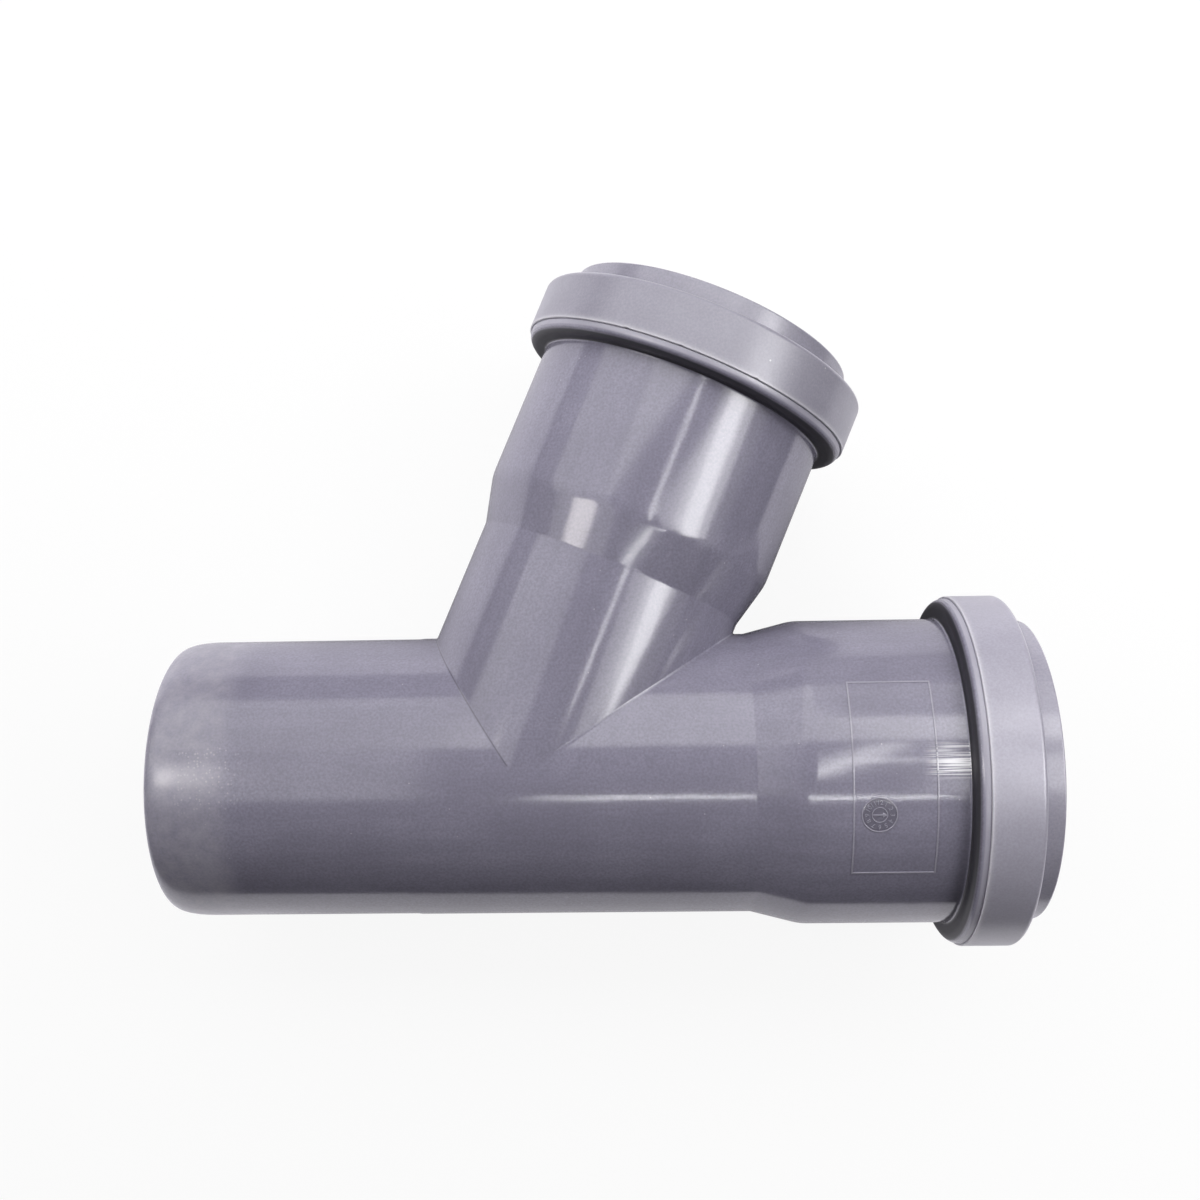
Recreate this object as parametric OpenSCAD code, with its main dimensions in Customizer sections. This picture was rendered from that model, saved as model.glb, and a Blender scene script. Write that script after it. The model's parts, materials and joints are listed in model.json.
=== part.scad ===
// Single branch wye for push fit drain pipe: a moulded body, two snap on socket caps and two lip seals.
// It lies on its side. The run goes along X from the spigot to its socket, and the branch leans over it in the XY plane.
// The origin is at the middle of the bounding box, on the surface that the two caps rest on.

/* [Pipe] */
// Outside diameter of the drain pipe, and of the spigot
pipe_od = 50; // [40:0.5:60]
// Wall thickness of the tubes
wall = 2; // [1.6:0.1:2.6]

/* [Layout] */
// Angle between the run and the branch
branch_angle = 67; // [45:1:88]
// From the crossing of the centre lines to the end of the spigot
spigot_reach = 63; // [55:0.5:120]
// From the crotch between run and branch to the start of each flare
flare_gap = 1.8; // [0.5:0.1:10]
// How far the skin of the branch lies inside the skin of the run, which closes the crease below the ridge
crease_depth = 0.1; // [0.1:0.01:0.3]

/* [Spigot end] */
// Length of the rounded lead that guides the spigot into the next socket
lead_length = 6.5; // [4:0.5:16]
// Fullness of that lead: 2 is an ellipse, and more is closer to square
lead_fullness = 2.3; // [2:0.1:3]
// Width of the wall that is left at the very end, on the radius
end_land = 0.3; // [0.2:0.05:0.8]
// Chamfer of the inner edge of the end
end_chamfer = 0.15; // [0.05:0.01:0.2]
// Length of the spigot that is held to the pipe's own diameter
sized_length = 43; // [25:0.5:46]
// How much fuller the tube behind it is, on the radius
tube_step = 0.1; // [0.05:0.01:0.2]

/* [Socket] */
// Play between the pipe and the wall of the socket, on the radius
socket_play = 0.3; // [0.15:0.05:0.45]
// Length of the flare from tube to socket
flare_length = 8.7; // [6:0.1:14]
// Rounding in the corner between the tube and the flare
flare_start_round = 2; // [0.5:0.1:6]
// Rounding where the flare meets the socket
flare_end_round = 10; // [2:0.5:14]
// Height of the ledge that stops the pipe
stop_ledge = 1; // [0.6:0.1:1.2]
// Rounding behind that ledge
stop_round = 2; // [0.5:0.1:3]
// Plain length of the socket, from the flare to the bead
socket_length = 26; // [15:0.5:45]

/* [Bead] */
// Rounding of the rear shoulder of the bead
bead_round = 1.9; // [1:0.1:2.4]
// Flat of the bead between that rounding and the cap
bead_land = 0.1; // [0.05:0.05:0.5]
// Rounding in the corner between the socket and the bead
bead_fillet = 0.5; // [0.2:0.1:0.6]
// Thickness of the floor behind the seal
bead_floor = 0.8; // [0.5:0.1:3]
// Wall around the seal
seat_wall = 1.6; // [1.2:0.1:2.4]
// Height of the ring that the cap snaps over
snap_height = 0.3; // [0.2:0.05:0.4]
// Length of that ring
snap_length = 1.2; // [0.9:0.1:2]
// From the rear edge of the cap to that ring
snap_place = 3; // [1.5:0.1:3.5]

/* [Cap] */
// Wall of the cap around the seat
cap_wall = 1.4; // [1.1:0.1:2.5]
// How far the cap stands proud of the bead
cap_step = 0.4; // [0.1:0.05:0.6]
// Thickness of the face that holds the seal in
cap_face = 1.1; // [0.8:0.1:3]
// Rounding of the front edge of the cap
cap_round = 0.9; // [0.3:0.1:1]
// Length of the collar in front of the cap
nose_length = 4.2; // [3:0.1:10]
// Wall of the collar
nose_wall = 1.5; // [1.4:0.1:2.2]
// Rounding of the outer edge of the mouth
mouth_round = 0.4; // [0.1:0.05:0.4]
// Length of the bevel that leads the pipe in
mouth_bevel = 1.2; // [0.6:0.1:2]
// How much that bevel opens the mouth, on the radius
bevel_height = 0.9; // [0.4:0.1:0.9]

/* [Seal] */
// Thickness of the seal, on the radius
seal_thickness = 2.9; // [2.4:0.1:4]
// Width of the seal, along the socket
seal_width = 6.8; // [6:0.1:10]
// Thickness of the band that lies against the chamber
band_thickness = 1.1; // [0.8:0.1:1.3]
// Height and length of the foot at the rear of the band
foot_size = 0.9; // [0.5:0.1:1]
// Thickness of the lip
lip_thickness = 0.9; // [0.6:0.1:1]
// From the front of the seal to the tip of the lip
lip_reach = 3.4; // [2.5:0.1:3.6]
// Length of the tip
lip_tip = 1.2; // [0.8:0.1:1.4]
// How far the lip of the seal stands into the socket with a pipe in place
lip_height = 0.2; // [0.05:0.05:0.25]

/* [Clearances] */
// Gap between each seal and what holds it
seal_gap = 0.1; // [0.05:0.05:0.3]
// Gap between each cap and the body
cap_gap = 0.1; // [0.05:0.05:0.2]

/* [Hidden] */
$fn = 120;
body_colour = [0.53, 0.52, 0.57];
cap_colour = [0.70, 0.69, 0.73];
seal_colour = [0.09, 0.09, 0.10];

// Radii, from the pipe outwards
pipe_r = pipe_od / 2;
tube_r = pipe_r + tube_step;
tube_bore_r = tube_r - wall;
socket_bore_r = pipe_r + socket_play;
socket_r = socket_bore_r + wall;
stop_r = socket_bore_r - stop_ledge;
chamber_r = socket_bore_r + seal_thickness + seal_gap;
seat_r = chamber_r + seat_wall;
cap_bore_r = seat_r + cap_gap;
cap_r = cap_bore_r + cap_wall;
bead_r = cap_r - cap_step;
nose_r = socket_bore_r + nose_wall;
mouth_r = socket_bore_r + bevel_height;

// Places along each socket's own axis, from the crossing outwards
crotch = tube_r / tan(branch_angle / 2);
flare_start = crotch + flare_gap;
flare_end = flare_start + flare_length;
flare_slope = atan((socket_r - tube_r) / flare_length);
// An inner wall that follows the flare turns a little later than the outer one
inner_shift = wall * tan(flare_slope / 2);
stop_place = flare_end + inner_shift;
bead_start = flare_end + socket_length;
cap_start = bead_start + bead_round + bead_land;
chamber_start = cap_start + bead_floor;
seat_end = chamber_start + seal_width + 2 * seal_gap;
cap_front = seat_end + cap_gap + cap_face;
mouth = cap_front + nose_length;

// Roundings and lengths too slight to set
step_length = 1;
edge_round = 0.3;
small_round = 0.15;
cut_past = 1;

// The bounding box, which gives the origin
high_y_at_mouth = mouth * sin(branch_angle) + nose_r * cos(branch_angle);
high_y_at_cap = cap_front * sin(branch_angle) + cap_r * cos(branch_angle);
box_high_y = max(high_y_at_mouth, high_y_at_cap);
middle_x = (mouth - spigot_reach) / 2;
middle_y = (box_high_y - cap_r) / 2;

// Direction from one point to another, with length 1
function direction(a, b) = (b - a) / norm(b - a);

// A point turned about the origin
function turned(p, a) = [p.x * cos(a) - p.y * sin(a), p.x * sin(a) + p.y * cos(a)];

// The point in an outline without its rounding
function place(p) = [p[0], p[1]];

// The arc that rounds one corner of an outline, or the corner itself where the radius is 0
function corner(before, at, after, radius, steps = 8) =
    radius == 0 ? [at] :
    let (
        u = direction(at, before),
        v = direction(at, after),
        half = acos(u * v) / 2,
        centre = at + direction([0, 0], u + v) * radius / sin(half),
        first = at + u * radius / tan(half) - centre,
        turn = sign(cross(u, v)) * (half * 2 - 180)
    )
    [for (i = [0:steps]) centre + turned(first, turn * i / steps)];

// An outline from [radius, place along the axis, rounding] corners
function outline(points) =
    let (last = len(points) - 1)
    [for (i = [0:last])
        each corner(
            place(points[i == 0 ? last : i - 1]),
            place(points[i]),
            place(points[i == last ? 0 : i + 1]),
            points[i][2]
        )
    ];

// Turns an outline about the run's own axis, with the seam of the turned surface away from the creases
module along_run(points) {
    rotate([0, 90, 0])
        rotate([0, 0, -90])
            rotate_extrude()
                polygon(outline(points));
}

// Places a piece on the branch's axis
module on_branch() {
    rotate([0, 0, branch_angle])
        children();
}

// Moves the centre lines from the origin to their place above the surface
module in_frame() {
    translate([-middle_x, -middle_y, cap_r])
        children();
}

// The rounded lead of the spigot, from its end to its full radius
function spigot_lead(steps = 12) =
    let (end_r = tube_bore_r + end_land, power = 2 / lead_fullness)
    [for (i = [0:steps])
        let (a = 90 * i / steps)
        [
            end_r + (pipe_r - end_r) * sin(a) ^ power,
            lead_length * (1 - cos(a) ^ power) - spigot_reach,
            0
        ]
    ];

// The outside of a flare, socket, bead and seal seat, from the tube of radius r to the front end
function socket_outside(r) = [
    [r, flare_start, flare_start_round],
    [socket_r, flare_end, flare_end_round],
    [socket_r, bead_start, bead_fillet],
    [bead_r, bead_start, bead_round],
    [bead_r, cap_start, 0],
    [seat_r, cap_start, 0],
    [seat_r, cap_start + snap_place, 0],
    [seat_r + snap_height, cap_start + snap_place, 0],
    [seat_r, cap_start + snap_place + snap_length, 0],
    [seat_r, seat_end, edge_round],
    [0, seat_end, 0]
];

// The hollow of a tube of bore r, its stop, the socket and the seal chamber
function socket_inside(r) = [
    [r, flare_start + inner_shift, flare_start_round + wall],
    [stop_r, flare_start + inner_shift + (stop_r - r) / tan(flare_slope), stop_round],
    [stop_r, stop_place, 0],
    [socket_bore_r, stop_place, 0],
    [socket_bore_r, chamber_start, 0],
    [chamber_r, chamber_start, 0],
    [chamber_r, seat_end + cut_past, 0],
    [0, seat_end + cut_past, 0]
];

module run_outside() {
    along_run(concat(
        [[0, -spigot_reach, 0]],
        spigot_lead(),
        [
            [pipe_r, sized_length - spigot_reach, 0],
            [tube_r, sized_length - spigot_reach + step_length, 0]
        ],
        socket_outside(tube_r)
    ));
}

module run_hollow() {
    end_r = tube_bore_r + end_chamfer + cut_past;
    along_run(concat(
        [
            [0, -spigot_reach - cut_past, 0],
            [end_r, -spigot_reach - cut_past, 0],
            [tube_bore_r, end_chamfer - spigot_reach, 0]
        ],
        socket_inside(tube_bore_r)
    ));
}

module branch_outside() {
    r = tube_r - crease_depth;
    on_branch()
        along_run(concat([[0, 0, 0], [r, 0, 0]], socket_outside(r)));
}

module branch_hollow() {
    r = tube_bore_r - crease_depth;
    on_branch()
        along_run(concat([[0, 0, 0], [r, 0, 0]], socket_inside(r)));
}

// The moulded body, with the run and the branch in one piece
module wye_body() {
    color(body_colour)
        in_frame()
            difference() {
                union() {
                    run_outside();
                    branch_outside();
                }
                run_hollow();
                branch_hollow();
            }
}

// A cap: a band round the seat, the face that holds the seal in, and the collar that the pipe enters
module cap() {
    rear = cap_start + cap_gap;
    groove_r = cap_bore_r + snap_height;
    groove_start = cap_start + snap_place - cap_gap;
    groove_end = groove_start + snap_length + 2 * cap_gap;
    face_back = seat_end + cap_gap;
    along_run([
        [cap_bore_r, rear, 0],
        [cap_r, rear, edge_round],
        [cap_r, cap_front, cap_round],
        [nose_r, cap_front, edge_round],
        [nose_r, mouth, mouth_round],
        [mouth_r, mouth, small_round],
        [socket_bore_r, mouth - mouth_bevel, edge_round],
        [socket_bore_r, face_back, 0],
        [cap_bore_r, face_back, 0],
        [cap_bore_r, groove_end, 0],
        [groove_r, groove_end, 0],
        [groove_r, groove_start, 0],
        [cap_bore_r, groove_start, 0]
    ]);
}

// A lip seal in its chamber, with the lip as a fitted pipe presses it back
module seal() {
    rear = chamber_start + seal_gap;
    front = rear + seal_width;
    back_r = chamber_r - seal_gap;
    band_r = back_r - band_thickness;
    foot_r = band_r - foot_size;
    lip_r = socket_bore_r - lip_height;
    lip_end = front - lip_reach - lip_tip;
    along_run([
        [back_r, rear, edge_round],
        [back_r, front, edge_round],
        [band_r, front, edge_round],
        [lip_r, front - lip_reach, edge_round],
        [lip_r, lip_end, edge_round],
        [lip_r + lip_thickness, lip_end, small_round],
        [band_r, front - lip_reach + lip_thickness, small_round],
        [band_r, rear + foot_size, small_round],
        [foot_r, rear + foot_size, small_round],
        [foot_r, rear, small_round]
    ]);
}

module run_cap() {
    color(cap_colour)
        in_frame()
            cap();
}

module branch_cap() {
    color(cap_colour)
        in_frame()
            on_branch()
                cap();
}

module run_seal() {
    color(seal_colour)
        in_frame()
            seal();
}

module branch_seal() {
    color(seal_colour)
        in_frame()
            on_branch()
                seal();
}

wye_body();
run_cap();
branch_cap();
run_seal();
branch_seal();
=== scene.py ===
# %% [markdown]
# # A drain pipe wye in glossy grey plastic
# A wye joins two drain pipes into one. The plain end, the spigot, pushes into the next fitting, and each
# of the two sockets takes a pipe. The real object is five pieces: a body moulded in one shot, two satin
# caps that snap over its sockets, and the two rubber seals that the caps hold in.
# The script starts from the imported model, which fixes every size and place. It then makes the body and
# the caps again as finer meshes, adds the finish of each surface, and sets up the camera and the light.

# %% The frame that everything is built around
import json
import math

import bmesh
import bpy
from mathutils import Matrix, Vector


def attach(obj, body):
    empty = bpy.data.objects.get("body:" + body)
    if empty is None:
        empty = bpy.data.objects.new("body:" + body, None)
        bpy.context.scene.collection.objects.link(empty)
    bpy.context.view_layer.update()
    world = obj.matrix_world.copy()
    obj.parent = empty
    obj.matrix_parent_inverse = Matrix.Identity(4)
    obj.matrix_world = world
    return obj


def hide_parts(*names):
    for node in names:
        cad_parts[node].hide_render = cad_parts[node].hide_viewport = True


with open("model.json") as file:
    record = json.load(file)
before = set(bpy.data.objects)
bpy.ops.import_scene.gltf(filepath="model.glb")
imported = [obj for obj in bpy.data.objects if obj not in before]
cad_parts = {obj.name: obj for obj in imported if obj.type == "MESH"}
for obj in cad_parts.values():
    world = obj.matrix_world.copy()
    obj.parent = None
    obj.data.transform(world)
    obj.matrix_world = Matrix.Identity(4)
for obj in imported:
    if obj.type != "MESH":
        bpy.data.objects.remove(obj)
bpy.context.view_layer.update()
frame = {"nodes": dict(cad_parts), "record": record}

print("nodes in the frame:", sorted(frame["nodes"]))

# %% [markdown]
# ## Sizes
# A turned or moulded pipe fitting is round about a centre line, so nearly every size on it is a radius or
# a place along that line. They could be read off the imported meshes, but a maker's drawing gives them by
# name, and so does this cell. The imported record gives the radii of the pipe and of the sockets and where
# the two centre lines run, and the rest is written in millimetres, as on the drawing.

# %% The centre lines and the radii, from the record
MM = 0.001
mounts = {mount["name"]: mount for mount in frame["record"]["mounts"]}
run_socket = mounts["run_socket"]
branch_socket = mounts["branch_socket"]
run_place = Vector(run_socket["pos_m"])
branch_place = Vector(branch_socket["pos_m"])
branch_way = Vector(branch_socket["axis"])
BRANCH_ANGLE = math.atan2(branch_way.y, branch_way.x)
crossing = branch_place - branch_way * ((branch_place.y - run_place.y) / branch_way.y)
pipe_r = mounts["spigot"]["dims"]["r_mm"]
socket_bore_r = run_socket["dims"]["r_mm"]
print("crossing at", [round(v / MM, 2) for v in crossing], "mm")
print("branch at", round(math.degrees(BRANCH_ANGLE), 1), "degrees")

# %% Radii of the body, in millimetres
wall = 2.0
tube_r = pipe_r + 0.1
tube_bore_r = tube_r - wall
socket_r = socket_bore_r + wall
stop_r = socket_bore_r - 1.0
chamber_r = socket_bore_r + 3.0
seat_r = chamber_r + 1.6
snap_r = seat_r + 0.3
cap_bore_r = seat_r + 0.1
cap_r = cap_bore_r + 1.4
bead_r = cap_r - 0.4
bead_round = 1.9
nose_r = socket_bore_r + 1.5

# %% Places along each socket's own centre line, from the crossing outwards, in millimetres
spigot_reach = 63.0
lead_length = 6.5
lead_fullness = 2.3
end_r = tube_bore_r + 0.3
end_chamfer = 0.15
sized_length = 43.0
sized_end = sized_length - spigot_reach
crotch = tube_r / math.tan(BRANCH_ANGLE / 2)
flare_start = crotch + 1.8
flare_end = flare_start + 8.7
flare_slope = math.atan((socket_r - tube_r) / (flare_end - flare_start))
inner_shift = wall * math.tan(flare_slope / 2)
bead_start = flare_end + 26.0
cap_start = bead_start + 2.0
snap_start = cap_start + 3.0
snap_length = 1.2
chamber_start = cap_start + 0.8
seat_end = chamber_start + 7.0
cap_front = seat_end + 1.2
mouth = cap_front + 4.2
print("crotch", round(crotch, 2), "flare to", round(flare_end, 2), "mouth", round(mouth, 2))

# %% [markdown]
# ## Turning a section
# A wall that is round about a line is a section spun about that line, as clay on a wheel. The section
# could be shaped on a finished cylinder by scaling its rings, but every ring would then carry its size in
# a list of scales. Drawing the section first keeps the drawing's own numbers: corners given as place,
# radius and rounding. The rounding is worked out as an arc, the points are drawn by extruding one vertex
# after the other, and one spin makes the wall. Both tubes get a line of vertices along their top, which
# lets them meet point to point where the branch joins the run.

# %% Arcs for the corners of a section
ARC_STEP = math.radians(6)
TURN_STEPS = 256
WELD = 0.002

def rounded(corners):
    """Points of a closed outline of (place, radius, rounding) corners, with each rounding as an arc."""
    points = []
    count = len(corners)
    for i, (x, r, rounding) in enumerate(corners):
        at = Vector((x, r))
        if rounding == 0:
            points.append(at)
            continue
        u = (Vector(corners[i - 1][:2]) - at).normalized()
        v = (Vector(corners[(i + 1) % count][:2]) - at).normalized()
        half = u.angle(v) / 2
        centre = at + (u + v).normalized() * rounding / math.sin(half)
        spoke = at + u * rounding / math.tan(half) - centre
        sweep = math.copysign(math.pi - 2 * half, -(u.x * v.y - u.y * v.x))
        steps = max(2, math.ceil(abs(sweep) / ARC_STEP))
        for k in range(steps + 1):
            a = sweep * k / steps
            points.append(centre + Vector((
                spoke.x * math.cos(a) - spoke.y * math.sin(a),
                spoke.x * math.sin(a) + spoke.y * math.cos(a),
            )))
    return points

# %% Drawing a section and spinning it
def clear_selection():
    """Goes to object mode with nothing selected."""
    if bpy.context.mode != "OBJECT":
        bpy.ops.object.mode_set(mode="OBJECT")
    bpy.ops.object.select_all(action="DESELECT")

def only(obj):
    """Makes obj the one selected and active object, in object mode."""
    clear_selection()
    obj.select_set(True)
    bpy.context.view_layer.objects.active = obj

def draw_section(name, points):
    """A closed wire in the XZ plane, drawn point by point from (place, radius) in millimetres."""
    clear_selection()
    bpy.ops.mesh.primitive_plane_add(size=MM)
    obj = bpy.context.object
    obj.name = name
    obj.data.name = name
    bpy.ops.object.mode_set(mode="EDIT")
    bpy.ops.mesh.merge(type="CENTER")
    bpy.ops.transform.translate(value=(points[0].x * MM, 0, points[0].y * MM))
    for before, after in zip(points, points[1:]):
        step = (after - before) * MM
        bpy.ops.mesh.extrude_region_move(TRANSFORM_OT_translate={"value": (step.x, 0, step.y)})
    mesh = bmesh.from_edit_mesh(obj.data)
    for vert in mesh.verts:
        vert.select = len(vert.link_edges) == 1
    mesh.select_flush(True)
    bmesh.update_edit_mesh(obj.data)
    bpy.ops.mesh.edge_face_add()
    return obj

def turned(name, corners):
    """The wall that a section of (place, radius, rounding) corners makes when spun about X."""
    obj = draw_section(name, rounded(corners))
    bpy.ops.mesh.select_all(action="SELECT")
    bpy.ops.mesh.spin(steps=TURN_STEPS, angle=math.tau, center=(0, 0, 0), axis=(1, 0, 0))
    bpy.ops.mesh.select_all(action="SELECT")
    bpy.ops.mesh.remove_doubles(threshold=WELD * MM)
    bpy.ops.mesh.normals_make_consistent(inside=False)
    bpy.ops.object.mode_set(mode="OBJECT")
    print(name, "turned with", len(obj.data.polygons), "faces")
    return obj

def lean(obj):
    """Turns a piece from the run's centre line to the branch's, in its mesh."""
    only(obj)
    obj.rotation_euler.z = BRANCH_ANGLE
    bpy.ops.object.transform_apply(location=False, rotation=True, scale=False)

def into_frame(obj):
    """Moves a piece from the crossing's own origin to its place in the frame, in its mesh."""
    only(obj)
    obj.location = crossing
    bpy.ops.object.transform_apply(location=True, rotation=False, scale=False)

def finish_shading(obj, angle=30):
    """Smooth shading that keeps edges sharper than angle, with normals led by the large faces."""
    only(obj)
    bpy.ops.object.shade_smooth_by_angle(angle=math.radians(angle))
    bpy.ops.object.modifier_add(type="WEIGHTED_NORMAL")
    obj.modifiers[-1].keep_sharp = True
    bpy.ops.object.modifier_apply(modifier=obj.modifiers[-1].name)

# %% [markdown]
# ## The moulded body
# On the real fitting the body is one shot of plastic: a tube whose spigot has a rounded lead, a branch of
# the same bore, and a flare, socket and seal seat on each. The tubes could be joined with a boolean, which
# leaves thin triangles along the crease. Tubes of the same radius cross in two flat ellipses, though, so
# the join can be mitred as a pipe fitter would do it: both tubes are cut along the two planes through the
# crossing, and the cut edges then match vertex for vertex, outside and in the bore.

# %% The two walls before they are cut
LEAD_STEPS = 20
BRANCH_ROOT = -5

def spigot_lead():
    """The rounded lead of the spigot as a quarter of a superellipse, from the end to the full radius."""
    power = 2 / lead_fullness
    points = []
    for i in range(LEAD_STEPS + 1):
        angle = math.pi / 2 * i / LEAD_STEPS
        place = lead_length * (1 - math.cos(angle) ** power) - spigot_reach
        radius = end_r + (pipe_r - end_r) * math.sin(angle) ** power
        points.append((place, radius, 0))
    return points

def socket_outside():
    """Outer corners of a flare, socket, bead and seal seat, from the tube to the front."""
    return [
        (flare_start, tube_r, 2),
        (flare_end, socket_r, 10),
        (bead_start, socket_r, 0.5),
        (bead_start, bead_r, bead_round),
        (cap_start, bead_r, 0),
        (cap_start, seat_r, 0),
        (snap_start, seat_r, 0),
        (snap_start, snap_r, 0),
        (snap_start + snap_length, seat_r, 0),
        (seat_end, seat_r, 0.3),
    ]

def socket_inside():
    """Inner corners of the seal chamber, socket, stop and flare, from the front back to the tube."""
    turn = flare_start + inner_shift
    return [
        (seat_end, chamber_r, 0),
        (chamber_start, chamber_r, 0),
        (chamber_start, socket_bore_r, 0),
        (flare_end + inner_shift, socket_bore_r, 0),
        (flare_end + inner_shift, stop_r, 0),
        (turn + (stop_r - tube_bore_r) / math.tan(flare_slope), stop_r, 2),
        (turn, tube_bore_r, 4),
    ]

run_wall = turned("wye_body_moulding", [
    (-spigot_reach, tube_bore_r + end_chamfer, 0),
    *spigot_lead(),
    (sized_end, pipe_r, 0),
    (sized_end + 1, tube_r, 0),
    *socket_outside(),
    *socket_inside(),
    (end_chamfer - spigot_reach, tube_bore_r, 0),
])
branch_wall = turned("branch_wall", [
    (BRANCH_ROOT, tube_bore_r, 0),
    (BRANCH_ROOT, tube_r, 0),
    *socket_outside(),
    *socket_inside(),
])

# %% Attributes for the finish and for the painted shade and light at the bead, written before the branch leans into its place
BEAD_BACK = -0.4
BEAD_FRONT = 2.0
SHOULDER_TURN = 54
SHOULDER_FADE = 18

def note_corner(obj):
    """Writes an attribute that runs from 1 on the bead's rear face to -1 on top of its shoulder."""
    corner = obj.data.attributes.new("corner", "FLOAT", "POINT")
    for vert in obj.data.vertices:
        place = vert.co.x / MM - bead_start
        radius = vert.co.yz.length / MM
        if BEAD_BACK < place < BEAD_FRONT and radius > socket_r + 0.1:
            up = math.degrees(math.atan2(radius - (bead_r - bead_round), bead_round - place))
            corner.data[vert.index].value = min(1, max(-1, (SHOULDER_TURN - up) / SHOULDER_FADE))

for wall_piece in (run_wall, branch_wall):
    note_corner(wall_piece)
branch_side = branch_wall.data.attributes.new("branch", "FLOAT", "POINT")
for item in branch_side.data:
    item.value = 1
lean(branch_wall)

# %% Mitring them along the two planes of the crease
RIGHT_PLANE = BRANCH_ANGLE / 2
LEFT_PLANE = RIGHT_PLANE + math.pi / 2

def plane_side(angle, point):
    """Which side of the upright plane at this angle a point lies on: positive is anticlockwise of it."""
    return point.y * math.cos(angle) - point.x * math.sin(angle)

def mitre(obj, keep_branch):
    """Cuts a wall along both planes and keeps the branch's wedge between them, or the rest."""
    only(obj)
    bpy.ops.object.mode_set(mode="EDIT")
    for angle in (RIGHT_PLANE, LEFT_PLANE):
        bpy.ops.mesh.select_all(action="SELECT")
        bpy.ops.mesh.bisect(
            plane_co=(0, 0, 0),
            plane_no=(-math.sin(angle), math.cos(angle), 0),
            threshold=0.001 * MM,
        )
    bpy.ops.mesh.select_all(action="DESELECT")
    mesh = bmesh.from_edit_mesh(obj.data)
    for face in mesh.faces:
        middle = face.calc_center_median()
        in_wedge = plane_side(RIGHT_PLANE, middle) > 0 and plane_side(LEFT_PLANE, middle) < 0
        face.select_set(in_wedge != keep_branch)
    bmesh.update_edit_mesh(obj.data)
    bpy.ops.mesh.delete(type="FACE")
    bpy.ops.object.mode_set(mode="OBJECT")

mitre(run_wall, keep_branch=False)
mitre(branch_wall, keep_branch=True)
print("faces left:", len(run_wall.data.polygons), len(branch_wall.data.polygons))

# %% Joining them, with a small fillet along the crease
JOIN_WELD = 0.01
CREASE_WIDTH = 0.35
CREASE_TURN = math.radians(4)
CREASE_FROM = 1.5

only(run_wall)
branch_wall.select_set(True)
bpy.ops.object.join()
body = run_wall
bpy.ops.object.mode_set(mode="EDIT")
bpy.ops.mesh.select_all(action="SELECT")
bpy.ops.mesh.remove_doubles(threshold=JOIN_WELD * MM)
bpy.ops.mesh.normals_make_consistent(inside=False)
bpy.ops.mesh.select_mode(type="EDGE")
bpy.ops.mesh.select_all(action="DESELECT")
mesh = bmesh.from_edit_mesh(body.data)
open_edges = [edge for edge in mesh.edges if len(edge.link_faces) != 2]
crease = []
for edge in mesh.edges:
    middle = (edge.verts[0].co + edge.verts[1].co) / 2
    on_plane = min(abs(plane_side(angle, middle)) for angle in (RIGHT_PLANE, LEFT_PLANE)) < WELD * MM
    outer = middle.yz.length > (tube_r - 0.5) * MM
    if on_plane and outer and middle.y > CREASE_FROM * MM and edge.calc_face_angle(0) > CREASE_TURN:
        crease.append(edge)
for edge in crease:
    edge.select_set(True)
bmesh.update_edit_mesh(body.data)
bpy.ops.mesh.bevel(offset=CREASE_WIDTH * MM, segments=4, profile=0.5, affect="EDGES", clamp_overlap=True)
bpy.ops.mesh.select_mode(type="VERT")
bpy.ops.object.mode_set(mode="OBJECT")
print("crease edges:", len(crease), "open edges:", len(open_edges), "faces:", len(body.data.polygons))

# %% An attribute along the left crease, for a painted shade line there
CREASE_SHADE_WIDTH = 0.12

painted_crease_shade = body.data.attributes.new("painted_crease_shade", "FLOAT", "POINT")
for vert in body.data.vertices:
    in_crease = abs(plane_side(LEFT_PLANE, vert.co)) < CREASE_SHADE_WIDTH * MM and vert.co.x < -CREASE_FROM * MM
    on_outside = vert.co.yz.length > (tube_r - 0.2) * MM and vert.co.y > CREASE_FROM * MM
    painted_crease_shade.data[vert.index].value = 1 if in_crease and on_outside else 0
print("points in the left crease:", sum(item.value > 0 for item in painted_crease_shade.data))

# %% [markdown]
# ## The marks that the mould leaves
# The run socket carries a thin raised frame and a date dial, a round insert of the mould with the months
# as numbers round an arrow. They are a tenth of a millimetre high, which a bump map could show from the
# front, but only real ribs catch the light along one side and stay in the exported mesh. They are drawn
# flat, with x along the run and y round it, because a plane, a circle and plain text are easy to raise
# there. Then every point is rolled onto the socket: y becomes an angle and the height is added to the
# radius.

# %% Raising ribs on a flat drawing
RIB_HEIGHT = 0.12
RIB_ROUND = 0.05
MARK_SINK = 0.05
ROUNDED_TURN = math.radians(50)
marks = []

def note_mark(obj, value):
    """Writes an attribute that is 1 on a rib and -1 on the dial's face."""
    mark = obj.data.attributes.new("mark", "FLOAT", "POINT")
    for item in mark.data:
        item.value = value

def raise_faces(obj, height, rounding=RIB_ROUND):
    """Pulls flat faces up into a closed rib, whose foot is sunk into the wall, and rounds its edges."""
    only(obj)
    bpy.ops.object.mode_set(mode="EDIT")
    bpy.ops.mesh.select_all(action="SELECT")
    bpy.ops.mesh.extrude_region_move(TRANSFORM_OT_translate={"value": (0, 0, (height + MARK_SINK) * MM)})
    bpy.ops.mesh.select_all(action="SELECT")
    bpy.ops.mesh.normals_make_consistent(inside=False)
    bpy.ops.object.mode_set(mode="OBJECT")
    bpy.ops.object.modifier_add(type="BEVEL")
    bevel = obj.modifiers[-1]
    bevel.width = rounding * MM
    bevel.segments = 2
    bevel.angle_limit = ROUNDED_TURN
    bpy.ops.object.modifier_apply(modifier=bevel.name)
    marks.append(obj)

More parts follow.
